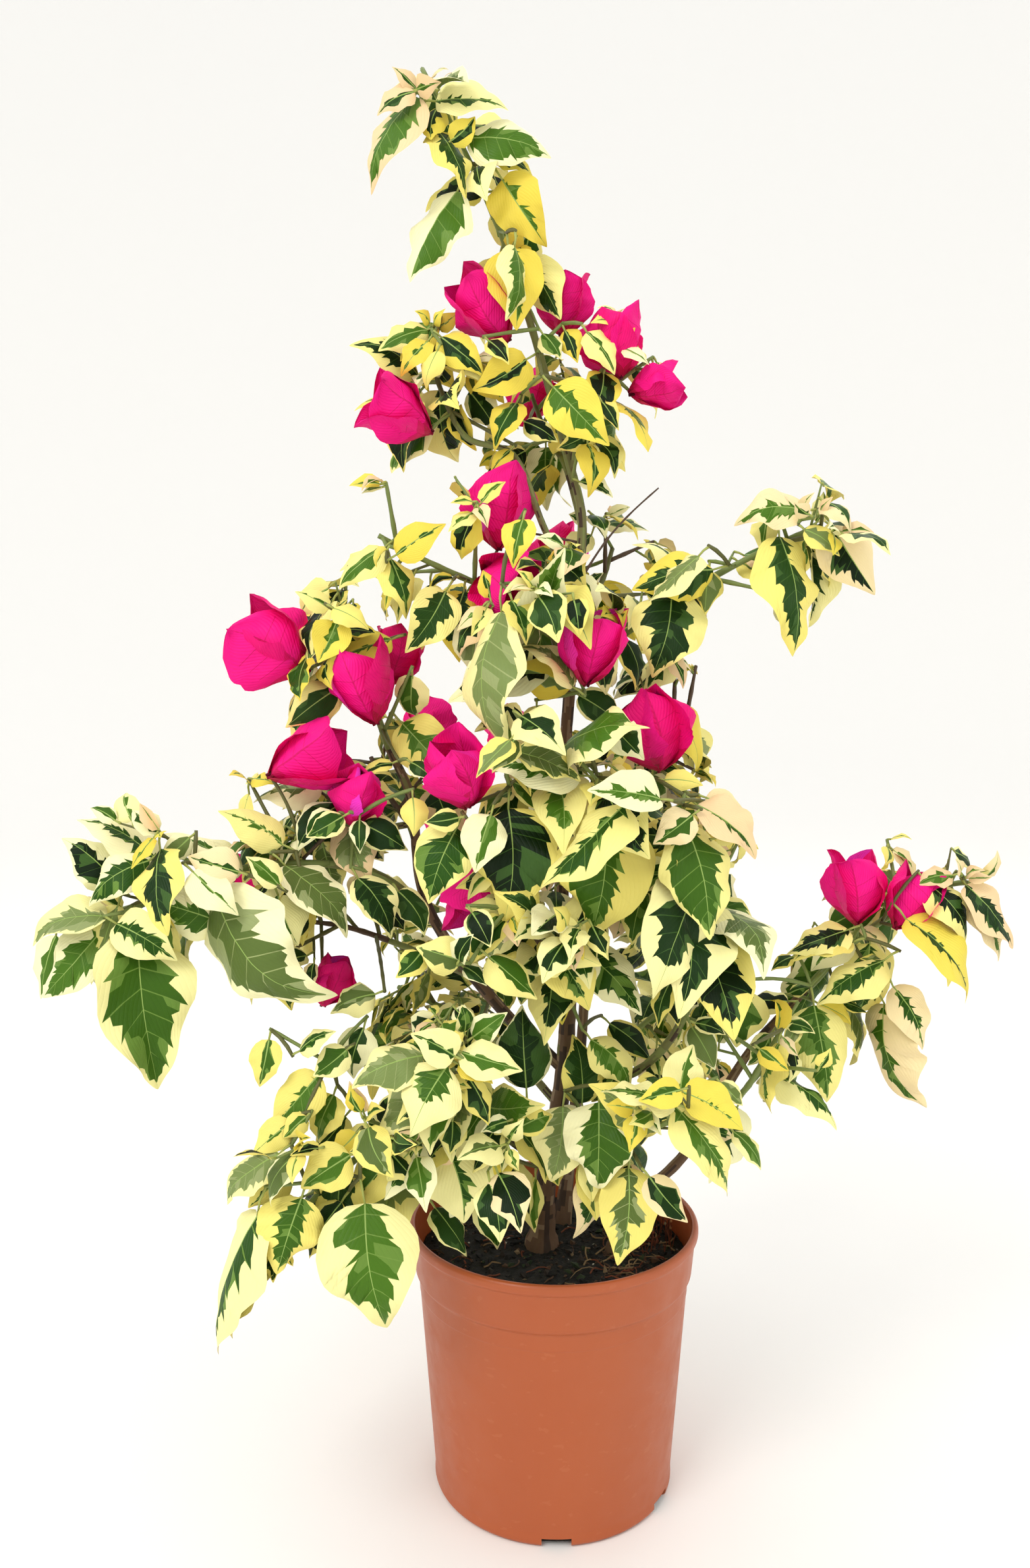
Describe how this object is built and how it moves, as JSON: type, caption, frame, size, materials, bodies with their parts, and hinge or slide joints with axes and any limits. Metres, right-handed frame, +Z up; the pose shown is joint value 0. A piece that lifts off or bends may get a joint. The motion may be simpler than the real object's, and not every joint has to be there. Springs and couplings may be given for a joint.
{
  "type": "bougainvillea in a pot",
  "caption": "Young variegated bougainvillea with cream-edged leaves and magenta bracts, standing in a round terracotta-coloured grower's pot.",
  "frame": {"origin": "centre of the flat underside of the pot", "axes": "+Z up along the stems, the front of the shrub faces -Y, +X to the viewer's right"},
  "size_m": [0.4959, 0.254, 0.7298],
  "materials": {
    "pot": "satin moulded plastic, terracotta colour",
    "soil": "moist potting soil",
    "bark": "thin brown bark, green towards the tips",
    "foliage": "green leaves with cream margins, magenta papery bracts"
  },
  "bodies": {
    "root": {"back_high": "foliage", "back_high_bough": "bark", "back_left": "foliage", "back_left_bough": "bark", "back_low_left": "foliage", "back_low_left_bough": "bark", "back_low_right": "foliage", "back_low_right_bough": "bark", "back_mid": "foliage", "back_right": "foliage", "back_right_bough": "bark", "back_stem": "bark", "back_top": "foliage", "back_top_bough": "bark", "centre_stem": "bark", "core_front": "foliage", "core_front_bough": "bark", "core_right": "foliage", "core_right_bough": "bark", "far_left": "foliage", "far_left_bough": "bark", "far_right": "foliage", "front_high": "foliage", "front_high_bough": "bark", "front_mid": "foliage", "front_mid_bough": "bark", "front_right": "foliage", "front_right_bough": "bark", "leader": "bark", "left_high": "foliage", "left_high_bough": "bark", "left_low": "foliage", "left_low_bough": "bark", "left_mid": "foliage", "left_mid_bough": "bark", "left_stem": "bark", "left_wing": "foliage", "low_front_left": "foliage", "low_front_left_bough": "bark", "low_front_right": "foliage", "low_front_right_bough": "bark", "low_left": "foliage", "low_left_bough": "bark", "main_stem": "bark", "pot": "pot", "right_high": "foliage", "right_high_bough": "bark", "right_low": "foliage", "right_low_bough": "bark", "right_mid": "foliage", "right_mid_bough": "bark", "right_stem": "bark", "soil": "soil", "top": "foliage", "upper_left": "foliage", "upper_left_bough": "bark", "upper_right": "foliage", "upper_right_bough": "bark"}
  },
  "joints": []
}
